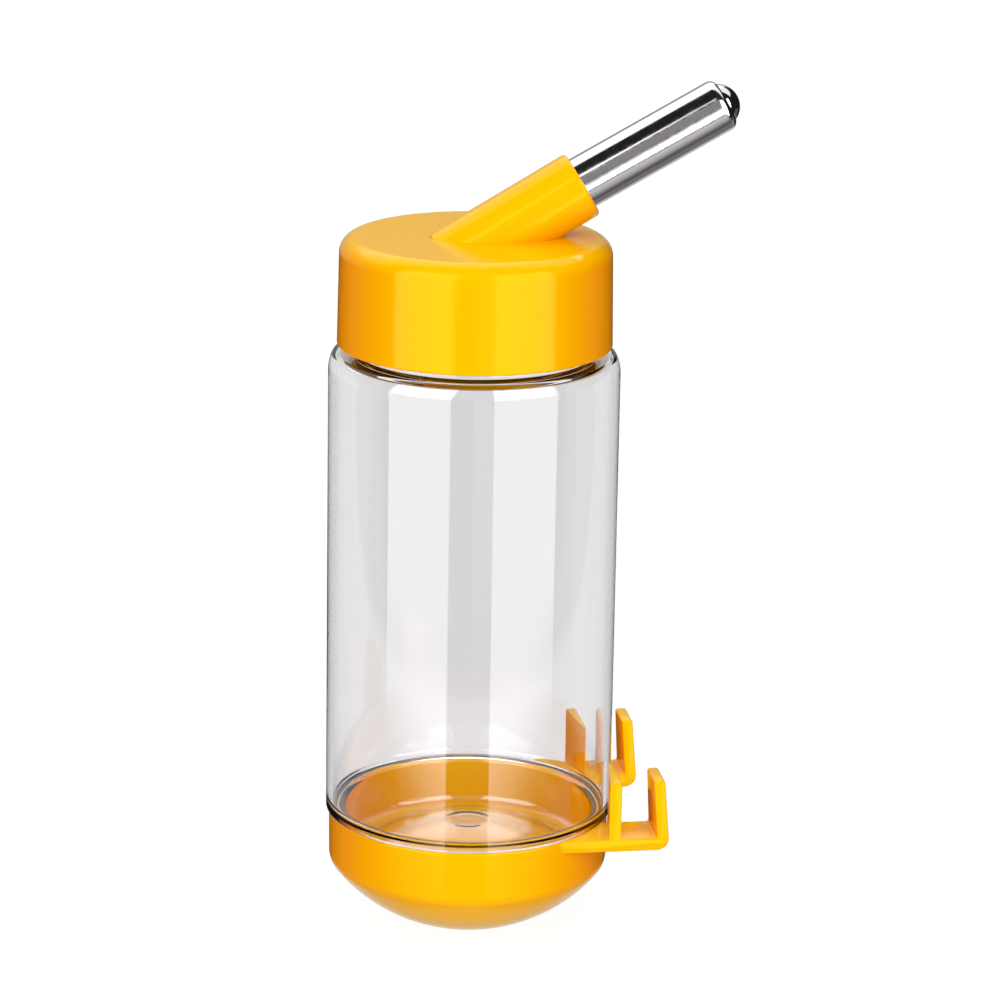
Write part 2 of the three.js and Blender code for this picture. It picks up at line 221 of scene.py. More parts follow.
PLUG_HOLE_CIRCLE = 3.5
SPRING_WIRE = 0.35
SPRING_RADIUS = 3.4
SPRING_REAR = -18.9
SPRING_FRONT = 52.5
SPRING_TURNS = 15
SPRING_CLOSED = 0.04  # share of the wire at each end that lies in closed coils
SPRING_COIL_GAP = 0.1  # between closed coils

# ------------------------------------------------------------------ camera, floor and light

CAMERA_TURN = -8.7  # degrees round the object, from looking along +Y
CAMERA_DROP = 16.05  # degrees below the horizon
CAMERA_ROLL = 0.96
CAMERA_PLACE = Vector((6.18, -857.83, 344.97))  # mm, with the turn taken out
CAMERA_LENS = 143.2

# The studio's parts lie between angles in degrees: azimuths from the camera's side, heights from the horizon.
LEFT_BOX = (-69.5, -17.5)
RIGHT_BOX = (16.5, 69.5)
BOX_SOFT = 1.5
BOX_LEAN = 0.12  # the left softbox leans with height
BOX_FOOT = -23.0  # lowest where its azimuth is BOX_FOOT_MIDDLE
BOX_FOOT_MIDDLE = 17.0
BOX_FOOT_RISE = 0.06
BOX_FOOT_SOFT = 3.5
BOX_TOP_START = 52.0
BOX_TOP_END = 62.0
BOX_TOP_IN_GLOSS = -16.0
BOX_LIGHT = 2.15
BOX_GLOSS = 3.9  # more in gloss than they light with, as small hard sources do
REAR_LIGHT = 1.7
REAR_START = (0.02, 0.1)  # how far a direction points away from the camera, as a share of its length
REAR_FOOT = (22.0, 32.0)
DARK_SIDE = (92.0, 163.0)  # where the backdrop is dark and the rear light hangs higher
DARK_SIDE_SOFT = 8.0
DARK_SIDE_RISE = 14.0
BACKDROP_LIGHT = 0.45
BACKDROP_START = (94.0, 104.0)
BACKDROP_FOOT = (-12.0, -6.0)
SIDE_LIGHT = 0.12  # between the table and the backdrop
SIDE_SPAN = (99.0, 130.0)
SIDE_SOFT = 10.0
FILL_LIGHT = 0.4  # a low patch between the softboxes
FILL_SPAN = (-1.0, 17.5)
FILL_SOFT = 2.0
FILL_HEIGHT = (8.0, 36.0)
FILL_HEIGHT_SOFT = 6.0
GLOW_LIGHT = 1.2  # and another under it
GLOW_SPAN = (1.0, 17.0)
GLOW_SOFT = 3.0
GLOW_FOOT = (-21.0, -14.0)
GLOW_TOP = (-3.0, 10.0)
TABLE_EDGE = (-30.0, -21.0)
TABLE_NEAR = (-0.1, 0.2)  # measured as REAR_START is
TABLE_LIGHT = 0.7  # on the far side of the object
TABLE_NEAR_LIGHT = 0.5  # more on the camera's side
TABLE_GLOSS = 0.65  # straight below
TABLE_EDGE_GLOSS = 0.5  # more towards its edge
TABLE_GLOSS_RISE = (-50.0, -22.0)
TABLE_SIDE_LOSS = 0.75  # share of its gloss lost beside the object
TABLE_SIDE_SPAN = (60.0, 145.0)
TABLE_SIDE_SOFT = 30.0
SURROUNDINGS = 0.02
THROUGH_CLEAR = 0.45  # more for rays that leave clear plastic

LAMP_SIZE = 1.2  # metres, as are the places of the lamps
LAMP_AIM = Vector((0, 0, 0.1))

FLOOR_SEEN = 0.95  # how brightly the floor glows when seen directly
FLOOR_THROUGH = 0.82  # and through clear plastic
FLOOR_FAR_PAINTED_SHADE = 0.09  # painted shade: less again beyond a curve behind the object
FLOOR_CURVE = 48.0  # the curve is y = FLOOR_CURVE * x * x + FLOOR_CURVE_START, in metres
FLOOR_CURVE_START = (0.135, 0.165)
FLOOR_NEAR = (-0.05, 0.02)  # the near side ends here along y, in metres
FLOOR_PAINTED_DARK_REFLECTION = 0.93  # painted dark reflection: share lost on the near side by rays that clear plastic has mirrored


def make_camera():
    data = bpy.data.cameras.new("camera")
    data.lens = CAMERA_LENS
    data.sensor_width = 36.0
    camera = bpy.data.objects.new("camera", data)
    bpy.context.scene.collection.objects.link(camera)
    turn = Matrix.Rotation(math.radians(CAMERA_TURN), 4, "Z")
    drop = Matrix.Rotation(math.radians(90 - CAMERA_DROP), 4, "X")
    roll = Matrix.Rotation(math.radians(CAMERA_ROLL), 4, "Z")
    camera.matrix_world = turn @ Matrix.Translation(CAMERA_PLACE * MM) @ drop @ roll
    bpy.context.scene.camera = camera


class Nodes:
    """Short calls for building one node tree."""

    def __init__(self, tree):
        self.tree = tree

    def add(self, kind, **settings):
        node = self.tree.nodes.new(kind)
        for name, value in settings.items():
            setattr(node, name, value)
        return node

    def join(self, source, target):
        self.tree.links.new(source, target)

    def math(self, operation, *values):
        node = self.add("ShaderNodeMath", operation=operation)
        for socket, value in zip(node.inputs, values):
            if isinstance(value, (int, float)):
                socket.default_value = value
            else:
                self.join(value, socket)
        return node.outputs[0]

    def rise(self, value, start, end):
        """0 below start, 1 above end, smooth between."""
        node = self.add("ShaderNodeMapRange", interpolation_type="SMOOTHSTEP")
        self.join(value, node.inputs["Value"])
        node.inputs["From Min"].default_value = start
        node.inputs["From Max"].default_value = end
        return node.outputs["Result"]

    def window(self, value, start, end, soft):
        """1 between start and end, 0 outside, with soft edges."""
        up = self.rise(value, start - soft / 2, start + soft / 2)
        down = self.less(self.rise(value, end - soft / 2, end + soft / 2))
        return self.times(up, down)

    def times(self, *values):
        product = values[0]
        for value in values[1:]:
            product = self.math("MULTIPLY", product, value)
        return product

    def less(self, value):
        """What the value lacks of 1."""
        return self.math("SUBTRACT", 1.0, value)

    def scaled(self, value, factor, base):
        return self.math("MULTIPLY_ADD", value, factor, base)

    def camera_axes(self, place):
        """x, y and z of a place or direction, in axes turned so that +y points away from the camera."""
        turned_back = self.add("ShaderNodeVectorRotate", rotation_type="Z_AXIS")
        turned_back.inputs["Angle"].default_value = math.radians(-CAMERA_TURN)
        self.join(place, turned_back.inputs["Vector"])
        parts = self.add("ShaderNodeSeparateXYZ")
        self.join(turned_back.outputs[0], parts.inputs[0])
        return parts.outputs


def make_world():
    """A studio: two tall softboxes in front, a large light over and behind, a grey backdrop, a pale table."""
    world = bpy.data.worlds.new("studio")
    bpy.context.scene.world = world
    world.use_nodes = True
    world.node_tree.nodes.clear()
    n = Nodes(world.node_tree)
    x, y, z = n.camera_axes(n.add("ShaderNodeTexCoord").outputs["Generated"])
    azimuth = n.times(n.math("ARCTAN2", x, n.times(y, -1.0)), 180 / math.pi)
    height = n.times(n.math("ARCSINE", z), 180 / math.pi)
    turn = n.math("ABSOLUTE", azimuth)
    path = n.add("ShaderNodeLightPath").outputs
    mirrored = path["Is Glossy Ray"]
    dark_side = n.window(azimuth, *DARK_SIDE, DARK_SIDE_SOFT)

    lean = n.times(n.math("MAXIMUM", height, 0.0), BOX_LEAN)
    left = n.window(n.math("SUBTRACT", azimuth, lean), *LEFT_BOX, BOX_SOFT)
    right = n.window(azimuth, *RIGHT_BOX, BOX_SOFT)
    off_middle = n.math("ABSOLUTE", n.math("SUBTRACT", turn, BOX_FOOT_MIDDLE))
    foot = n.scaled(off_middle, BOX_FOOT_RISE, BOX_FOOT)
    top_shift = n.times(mirrored, BOX_TOP_IN_GLOSS)
    above_foot = n.rise(n.math("SUBTRACT", height, foot), 0.0, BOX_FOOT_SOFT)
    below_top = n.less(n.rise(n.math("SUBTRACT", height, top_shift), BOX_TOP_START, BOX_TOP_END))
    strength = n.scaled(mirrored, BOX_GLOSS, BOX_LIGHT)
    boxes = n.times(n.math("ADD", left, right), above_foot, below_top, strength)

    rear_height = n.math("SUBTRACT", height, n.times(dark_side, DARK_SIDE_RISE))
    rear = n.times(n.rise(y, *REAR_START), n.rise(rear_height, *REAR_FOOT), REAR_LIGHT)
    above_table = n.rise(height, *BACKDROP_FOOT)
    backdrop = n.times(n.rise(turn, *BACKDROP_START), above_table, n.less(dark_side), BACKDROP_LIGHT)
    sides = n.times(n.window(turn, *SIDE_SPAN, SIDE_SOFT), n.less(above_table), SIDE_LIGHT)
    fill_height = n.window(height, *FILL_HEIGHT, FILL_HEIGHT_SOFT)
    fill = n.times(n.window(turn, *FILL_SPAN, FILL_SOFT), fill_height, FILL_LIGHT)
    glow_height = n.times(n.rise(height, *GLOW_FOOT), n.less(n.rise(height, *GLOW_TOP)))
    glow = n.times(n.window(azimuth, *GLOW_SPAN, GLOW_SOFT), glow_height, GLOW_LIGHT)

    near = n.less(n.rise(y, *TABLE_NEAR))
    lighting = n.times(n.less(mirrored), n.scaled(near, TABLE_NEAR_LIGHT, TABLE_LIGHT))
    sheen = n.scaled(n.rise(height, *TABLE_GLOSS_RISE), TABLE_EDGE_GLOSS, TABLE_GLOSS)
    beside = n.scaled(n.window(turn, *TABLE_SIDE_SPAN, TABLE_SIDE_SOFT), -TABLE_SIDE_LOSS, 1.0)
    below = n.less(n.rise(height, *TABLE_EDGE))
    tabletop = n.times(below, n.math("ADD", lighting, n.times(mirrored, sheen, beside)))

    total = n.scaled(path["Is Transmission Ray"], THROUGH_CLEAR, SURROUNDINGS)
    for part in (boxes, rear, backdrop, sides, tabletop, fill, glow):
        total = n.math("ADD", total, part)
    background = n.add("ShaderNodeBackground")
    n.join(total, background.inputs["Strength"])
    output = n.add("ShaderNodeOutputWorld")
    n.join(background.outputs[0], output.inputs["Surface"])


def make_lamp(name, place, power):
    """A soft lamp aimed at the object, that lights it without showing in its gloss."""
    data = bpy.data.lights.new(name, "AREA")
    data.shape = "SQUARE"
    data.size = LAMP_SIZE
    data.energy = power
    lamp = bpy.data.objects.new(name, data)
    bpy.context.scene.collection.objects.link(lamp)
    lamp.location = place
    lamp.rotation_euler = (lamp.location - LAMP_AIM).to_track_quat("Z", "Y").to_euler()
    lamp.visible_camera = False
    lamp.visible_glossy = False
    lamp.visible_transmission = False


def make_floor():
    """A pale floor that glows, so that the object's shadow on it stays faint. Mirror images and bounced
    light come from the studio instead. Through clear plastic it is a little darker, and a painted shade
    darkens it beyond a curve behind the object; what clear plastic mirrors of its near side is a painted dark
    reflection."""
    bpy.ops.mesh.primitive_plane_add(size=60, location=(0, 0, 0))
    floor = bpy.context.object
    floor.name = "floor"
    material, n, shader, _ = new_material("floor_white")
    shader.inputs["Base Color"].default_value = (0.08, 0.08, 0.08, 1)
    shader.inputs["Roughness"].default_value = 0.9
    shader.inputs["Specular IOR Level"].default_value = 0.0
    shader.inputs["Emission Color"].default_value = (1, 1, 1, 1)
    x, y, _ = n.camera_axes(n.add("ShaderNodeNewGeometry").outputs["Position"])
    bend = n.times(x, x, -FLOOR_CURVE)
    # painted shade, seen through clear plastic beyond a curve behind the object
    behind = n.rise(n.math("ADD", y, bend), *FLOOR_CURVE_START)
    pale = n.scaled(behind, -FLOOR_FAR_PAINTED_SHADE, FLOOR_THROUGH)
    path = n.add("ShaderNodeLightPath").outputs
    near = n.less(n.rise(y, *FLOOR_NEAR))
    # painted dark reflection: the near side darkened for rays that clear plastic has mirrored
    reflected = n.times(n.math("MINIMUM", path["Glossy Depth"], 1.0), near)
    through = n.times(pale, n.scaled(reflected, -FLOOR_PAINTED_DARK_REFLECTION, 1.0))
    seen = n.times(path["Is Camera Ray"], FLOOR_SEEN)
    n.join(n.math("MAXIMUM", seen, through), shader.inputs["Emission Strength"])
    floor.data.materials.append(material)
    floor.visible_glossy = False
    floor.visible_diffuse = False


# ------------------------------------------------------------------ materials


def new_material(name):
    material = bpy.data.materials.new(name)
    material.use_nodes = True
    material.node_tree.nodes.clear()
    n = Nodes(material.node_tree)
    shader = n.add("ShaderNodeBsdfPrincipled")
    output = n.add("ShaderNodeOutputMaterial")
    n.join(shader.outputs[0], output.inputs["Surface"])
    return material, n, shader, output


def noise(n, scale, detail=3.0, stretch=(1, 1, 1)):
    """Noise over the piece's own axes. scale counts features per metre, stretch changes it axis by axis."""
    place = n.add("ShaderNodeTexCoord").outputs["Object"]
    mapping = n.add("ShaderNodeMapping")
    mapping.inputs["Scale"].default_value = stretch
    n.join(place, mapping.inputs["Vector"])
    node = n.add("ShaderNodeTexNoise")
    node.inputs["Scale"].default_value = scale
    node.inputs["Detail"].default_value = detail
    n.join(mapping.outputs[0], node.inputs["Vector"])
    return node.outputs["Fac"]


def ramp(n, value, start, end):
    """A value from start to end as the input rises from 0.3 to 0.7, where most noise lies."""
    node = n.add("ShaderNodeMapRange")
    n.join(value, node.inputs["Value"])
    node.inputs["From Min"].default_value = 0.3
    node.inputs["From Max"].default_value = 0.7
    node.inputs["To Min"].default_value = start
    node.inputs["To Max"].default_value = end
    return node.outputs["Result"]


def mix(n, value, first, second):
    """The first colour where the value is 0 and the second where it is 1; either may be another node's."""
    node = n.add("ShaderNodeMix", data_type="RGBA")
    n.join(value, node.inputs["Factor"])
    for socket, colour in (("A", first), ("B", second)):
        if isinstance(colour, tuple):
            node.inputs[socket].default_value = (*colour, 1)
        else:
            n.join(colour, node.inputs[socket])
    return node.outputs["Result"]


def bump(n, shader, height, strength, distance):
    node = n.add("ShaderNodeBump")
    node.inputs["Strength"].default_value = strength
    node.inputs["Distance"].default_value = distance
    n.join(height, node.inputs["Height"])
    n.join(node.outputs[0], shader.inputs["Normal"])


def yellow_plastic():
    """Glossy yellow, with painted shade: upright walls are painted a darker, more orange yellow where they
    turn away from the eye.
    """
    material, n, shader, _ = new_material("yellow_plastic")
    cloud = noise(n, 60, 4)
    grain = noise(n, 900, 2)
    facing = n.add("ShaderNodeLayerWeight").outputs["Facing"]
    level = n.add("ShaderNodeSeparateXYZ")
    n.join(n.add("ShaderNodeNewGeometry").outputs["Normal"], level.inputs[0])
    upright = n.less(n.math("ABSOLUTE", level.outputs[2]))
    # painted shade: upright walls turn darker and more orange towards their outline
    edge = n.times(n.rise(facing, 0.0, 0.6), upright)
    yellow = mix(n, cloud, (0.87, 0.45, 0.0), (0.89, 0.465, 0.0))
    n.join(mix(n, edge, yellow, (0.95, 0.32, 0.0)), shader.inputs["Base Color"])
    n.join(ramp(n, noise(n, 220, 5), 0.13, 0.17), shader.inputs["Roughness"])
    shader.inputs["IOR"].default_value = 1.4
    shader.inputs["Specular Tint"].default_value = (1.0, 0.95, 0.1, 1)
    bump(n, shader, n.math("ADD", n.times(cloud, 3.0), grain), 0.1, 0.00002)
    return material


def clear_plastic():
    """Glass to the eye. Light for what is behind it goes straight through."""
    material, n, shader, output = new_material("clear_plastic")
    shader.inputs["Base Color"].default_value = (0.97, 0.96, 0.968, 1)
    shader.inputs["Transmission Weight"].default_value = 1.0
    shader.inputs["IOR"].default_value = 1.5
    n.join(ramp(n, noise(n, 500, 4), 0.0, 0.03), shader.inputs["Roughness"])
    bump(n, shader, noise(n, 45, 1, (1, 1, 0.35)), 0.12, 0.0003)
    path = n.add("ShaderNodeLightPath")
    through = n.add("ShaderNodeBsdfTransparent")
    through.inputs["Color"].default_value = (0.99, 0.99, 0.99, 1)
    bounced = n.add("ShaderNodeMixShader")
    n.join(path.outputs["Is Diffuse Ray"], bounced.inputs[0])
    n.join(shader.outputs[0], bounced.inputs[1])
    n.join(through.outputs[0], bounced.inputs[2])
    shadowed = n.add("ShaderNodeMixShader")
    n.join(path.outputs["Is Shadow Ray"], shadowed.inputs[0])
    n.join(bounced.outputs[0], shadowed.inputs[1])
    n.join(through.outputs[0], shadowed.inputs[2])
    n.join(shadowed.outputs[0], output.inputs["Surface"])
    return material


def steel(name, roughness):
    material, n, shader, _ = new_material(name)
    shader.inputs["Metallic"].default_value = 1.0
    grain = noise(n, 700, 3)
    n.join(mix(n, noise(n, 120, 3), (0.62, 0.59, 0.59), (0.69, 0.66, 0.66)), shader.inputs["Base Color"])
    n.join(ramp(n, grain, roughness * 0.7, roughness * 1.4), shader.inputs["Roughness"])
    bump(n, shader, grain, 0.06, 0.00003)
    return material


def rubber():
    material, n, shader, _ = new_material("rubber")
    n.join(mix(n, noise(n, 300, 4), (0.035, 0.035, 0.037), (0.06, 0.06, 0.062)), shader.inputs["Base Color"])
    n.join(ramp(n, noise(n, 900, 3), 0.6, 0.85), shader.inputs["Roughness"])
    bump(n, shader, noise(n, 2500, 3), 0.3, 0.00003)
    return material


def white_plastic():
    material, n, shader, _ = new_material("white_plastic")
    n.join(mix(n, noise(n, 200, 3), (0.78, 0.78, 0.75), (0.85, 0.85, 0.82)), shader.inputs["Base Color"])
    n.join(ramp(n, noise(n, 700, 3), 0.35, 0.55), shader.inputs["Roughness"])
    bump(n, shader, noise(n, 1500, 3), 0.2, 0.00003)
    return material


# ------------------------------------------------------------------ mesh helpers


def arc(radial, height, radius, start, end, steps):
    """Profile points of an arc; angles in degrees from the radial direction towards +Z."""
    angles = [math.radians(start + (end - start) * i / steps) for i in range(steps + 1)]
    return [(radial + radius * math.cos(a), height + radius * math.sin(a)) for a in angles]


def column(radius, bottom, top, steps):
    """Profile points up or down a straight wall, both ends included."""
    return [(radius, bottom + (top - bottom) * i / steps) for i in range(steps + 1)]


def guarded(profile):
    """The profile with a point just inside each end of a long straight run, which keeps its shading even."""
    long_run, inset = 3.0, 0.3
    points = [profile[0]]
    for (r, z), (next_r, next_z) in zip(profile, profile[1:]):
        length = math.hypot(next_r - r, next_z - z)
        if length > long_run:
            step = inset / length
            points.append((r + (next_r - r) * step, z + (next_z - z) * step))
            points.append((next_r - (next_r - r) * step, next_z - (next_z - z) * step))
        points.append((next_r, next_z))
    return points


def turned(name, profile, facets, relief=None):
    """A solid of revolution about Z. The profile runs anticlockwise and either starts and ends on the
    axis or closes on itself. relief(radius, height, angle) gives a point's radius."""
    mesh = bmesh.new()
    rings = []
    for radius, height in guarded(profile):
        if radius < ON_AXIS:
            rings.append([mesh.verts.new((0, 0, height * MM))])
            continue
        ring = []
        for i in range(facets):
            angle = 2 * math.pi * i / facets
            r = relief(radius, height, angle) if relief else radius
            ring.append(mesh.verts.new((r * math.cos(angle) * MM, r * math.sin(angle) * MM, height * MM)))
        rings.append(ring)
    closed = len(rings[0]) > 1 or len(rings[-1]) > 1
    pairs = list(zip(rings, rings[1:])) + ([(rings[-1], rings[0])] if closed else [])
    for below, above in pairs:
        for i in range(facets):
            j = (i + 1) % facets
            lower = [below[i % len(below)], below[j % len(below)]]
            upper = [above[j % len(above)], above[i % len(above)]]
            corners = lower + upper
            distinct = list(dict.fromkeys(corners))
            if len(distinct) > 2:
                mesh.faces.new(distinct)
    return to_object(name, mesh)


def to_object(name, mesh):
    data = bpy.data.meshes.new(name)
    mesh.to_mesh(data)
    mesh.free()
    piece = bpy.data.objects.new(name, data)
    bpy.context.scene.collection.objects.link(piece)
    return piece


def between(name, near, far):
    """The solid between two matching outlines of (x, y, z) points in mm."""
    mesh = bmesh.new()
    front = [mesh.verts.new(Vector(point) * MM) for point in near]
    back = [mesh.verts.new(Vector(point) * MM) for point in far]
    mesh.faces.new(front)
    mesh.faces.new(list(reversed(back)))
    for i in range(len(front)):
        j = (i + 1) % len(front)
        mesh.faces.new([front[j], front[i], back[i], back[j]])
    bmesh.ops.recalc_face_normals(mesh, faces=mesh.faces)
    return to_object(name, mesh)


def bevel(piece, width):
    modifier = piece.modifiers.new("edges", "BEVEL")
    modifier.width = width * MM
    modifier.segments = 3
    modifier.limit_method = "ANGLE"
    modifier.angle_limit = math.radians(40)
    apply_modifiers(piece)


def apply_modifiers(piece):
    bpy.context.view_layer.update()
    graph = bpy.context.evaluated_depsgraph_get()
    data = bpy.data.meshes.new_from_object(piece.evaluated_get(graph))
    piece.modifiers.clear()
    piece.data = data


def combine(piece, operation, *others):
    """Joins other solids to piece, or cuts them out of it, and removes them."""
    for other in others:
        modifier = piece.modifiers.new(operation, "BOOLEAN")
        modifier.operation = operation
        modifier.solver = "EXACT"
        modifier.object = other
        apply_modifiers(piece)
        bpy.data.objects.remove(other)
    return piece


def onto_spout(piece, origin=SPOUT_ORIGIN, direction=SPOUT_DIRECTION):
    """Moves a piece made about Z to the drinking tube's axis, or to another one, in its mesh."""
    turn = Vector((0, 0, 1)).rotation_difference(direction).to_matrix().to_4x4()
    piece.data.transform(Matrix.Translation(origin * MM) @ turn)
    return piece


def finish_piece(piece, node, body, material):
    """Gives a piece its material and its shading, ties it to its body, and hides the CAD node that it stands
    in for.
    """
    piece.data.materials.clear()
    piece.data.materials.append(material)
    piece.data.shade_smooth()
    piece.data.set_sharp_from_angle(angle=math.radians(SHARP_ANGLE))
    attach(piece, body)
    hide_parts(node)


def smooth(t):
    """An S-curve from 0 to 1 as t goes from 0 to 1."""
    return t * t * (3 - 2 * t)


def ring_profile(inside, outside, bottom, top, edge, steps):
    """The profile of a ring with four rounded edges."""
    return [
        *arc(outside - edge, bottom + edge, edge, -90, 0, steps),
        *arc(outside - edge, top - edge, edge, 0, 90, steps),
        *arc(inside + edge, top - edge, edge, 90, 180, steps),
        *arc(inside + edge, bottom + edge, edge, 180, 270, steps),
    ]


def thread_relief(start, root, crest):
    """A single-start right-hand thread as a change of radius, fading out at both ends."""

    def relief(radius, height, angle):
        if abs(radius - root) > 0.01:
            return radius
        best = 0.0
        for turn in range(math.ceil(THREAD_TURNS) + 1):
            turns = turn + angle / (2 * math.pi)
            if turns > THREAD_TURNS:
                continue
            away = abs(height - start - turns * PITCH)
            flank = min(1.0, max(0.0, (THREAD_HALF_WIDTH - away) / THREAD_FLANK))
            fade = min(1.0, turns / THREAD_RUN_OUT, (THREAD_TURNS - turns) / THREAD_RUN_OUT)
            best = max(best, smooth(flank) * fade)
        return root + (crest - root) * best

    return relief


# ------------------------------------------------------------------ holder


def cup_side(inset, floor):
    """The cup's dome, shoulder and wall, offset inwards, from its floor up to just under its rim."""
    shoulder = CUP_RADIUS - CUP_SHOULDER
    reach = CUP_DOME - CUP_SHOULDER
    dome_r = shoulder - reach * math.cos(math.radians(CUP_BLEND))
    dome_z = CUP_WALL_START + reach * math.sin(math.radians(CUP_BLEND))
    start = math.degrees(math.asin((floor - dome_z) / (CUP_DOME - inset)))
    return [
        *arc(dome_r, dome_z, CUP_DOME - inset, start, -CUP_BLEND, 24),
        *arc(shoulder, CUP_WALL_START, CUP_SHOULDER - inset, -CUP_BLEND, 0, 12)[1:],
    ]


def hook_outline():
    """(x, z) points of the arm and its prong, seen from the side."""
    top_out, top_in = PRONG_OUTSIDE - PRONG_OUTSIDE_LEAN, PRONG_INSIDE - PRONG_INSIDE_LEAN
    corner, edge = HOOK_CORNER, HOOK_EDGE
    return [
        (ARM_START, ARM_BOTTOM),
        *arc(PRONG_OUTSIDE - corner, ARM_BOTTOM + corner, corner, -90, 0, 10),
        *arc(top_out - edge, PRONG_TOP - edge, edge, 0, 90, 5),
        *arc(top_in + edge, PRONG_TOP - edge, edge, 90, 180, 5),
        *reversed(arc(PRONG_INSIDE - edge, ARM_TOP + edge, edge, -90, 0, 5)),
        (ARM_START, ARM_TOP),
    ]


def hook(side):
    """One hook, on the -Y or the +Y side."""
    half = ARM_WIDTH / 2
    outline = hook_outline()
    arm = between("arm", [(x, -half, z) for x, z in outline], [(x, half, z) for x, z in outline])
    for vertex in arm.data.vertices:
        climb = max(0.0, vertex.co.z / MM - ARM_TOP) / (PRONG_TOP - ARM_TOP)
        vertex.co.y = vertex.co.y * (1 - PRONG_NARROWING * climb) + side * HOOK_OFFSET * MM
    bevel(arm, ARM_BEVEL)
    inner = POST_OUTSIDE - POST_THICKNESS
    section = [
        (POST_OUTSIDE, side * POST_NEAR),
        (POST_OUTSIDE, side * POST_FAR),
        (inner, side * POST_FAR),
        (inner + POST_TAPER, side * POST_NEAR),
    ]
    foot = [(x, y, POST_FOOT) for x, y in section]
    top = [(x, y, POST_TOP) for x, y in section]
    post = between("post", foot, top)
    bevel(post, POST_BEVEL)
    return combine(arm, "UNION", post)


def make_holder(material):
    lip = CUP_LIP
    profile = [
        (0, 0),
        *cup_side(0, 0),
        *arc(CUP_RIM_RADIUS - lip, CUP_RIM - lip, lip, 0, 90, 4),
        *arc(CUP_RIM_RADIUS - CUP_WALL + lip, CUP_RIM - lip, lip, 90, 180, 4),
        *reversed(cup_side(CUP_WALL, CUP_WALL)),
        (CUP_GATE_RADIUS, CUP_WALL),
        (CUP_GATE_RADIUS - CUP_GATE_SLOPE, CUP_WALL + CUP_GATE_HEIGHT),
        (0, CUP_WALL + CUP_GATE_HEIGHT),
    ]
    cup = turned("holder", profile, ROUND)
    # What the bottle and the cup's own bore keep free of the hooks.
    bore = CUP_RADIUS - CUP_WALL / 2
    free_profile = [
        (0, CUP_WALL_START - 2 * PAST),
        (bore, CUP_WALL_START - 2 * PAST),
        (bore, CUP_RIM),
        (POST_CLEARANCE_RADIUS, CUP_RIM),
        (POST_CLEARANCE_RADIUS, POST_TOP + PAST),
        (0, POST_TOP + PAST),
    ]
    for side in (-1, 1):
        free = turned("free", free_profile, ROUND)
        combine(cup, "UNION", combine(hook(side), "DIFFERENCE", free))
    finish_piece(cup, "holder_cup", "holder_body", material)


# ------------------------------------------------------------------ bottle


def bottle_bottom(inset):
    """The pushed-up bottom, with a shallow gate mark in its middle, and the heel, from the axis out."""
    heel_r = SPIGOT_RADIUS - HEEL_RADIUS
    heel_z = HEEL_BOTTOM + HEEL_RADIUS
    push_r = heel_r / math.sin(math.radians(HEEL_BLEND)) - HEEL_RADIUS + inset
    push_z = heel_z - heel_r / math.tan(math.radians(HEEL_BLEND))
    dish = arc(0, push_z, push_r, 90, 90 - HEEL_BLEND, 60)
    marked = [(r, z - GATE_DEPTH * gate_shape(r)) for r, z in dish]
    return [*marked, *arc(heel_r, heel_z, HEEL_RADIUS - inset, -90 - HEEL_BLEND, 0, 16)[1:]]


def gate_shape(radius):
    """1 in the middle of the gate mark, a low raised ring round it, 0 outside."""
    inner = math.exp(-((radius / GATE_RADIUS) ** 2))
    ring = math.exp(-(((radius - GATE_RING_RADIUS) / GATE_RING_WIDTH) ** 2))
    return inner - GATE_RING_SHARE * ring


def bottle_shoulder(inset):
    """The shoulder's gentle curve and its tighter corner, from the body up."""
    centre = BODY_RADIUS - SHOULDER_RADIUS
    reach = SHOULDER_RADIUS - CORNER_RADIUS
    corner_r = centre + reach * math.cos(math.radians(SHOULDER_TURN))
    corner_z = SHOULDER_START + reach * math.sin(math.radians(SHOULDER_TURN))
    corner = max(CORNER_RADIUS - inset, CORNER_LEAST)
    added = corner - (CORNER_RADIUS - inset)
    inner_r = corner_r - CORNER_SHIFT_IN * added
    inner_z = corner_z - CORNER_SHIFT_DOWN * added
    return [
        *arc(centre, SHOULDER_START, SHOULDER_RADIUS - inset, 0, SHOULDER_TURN, 8),
        *arc(inner_r, inner_z, corner, SHOULDER_TURN, CORNER_TURN, 10)[1:],
    ]


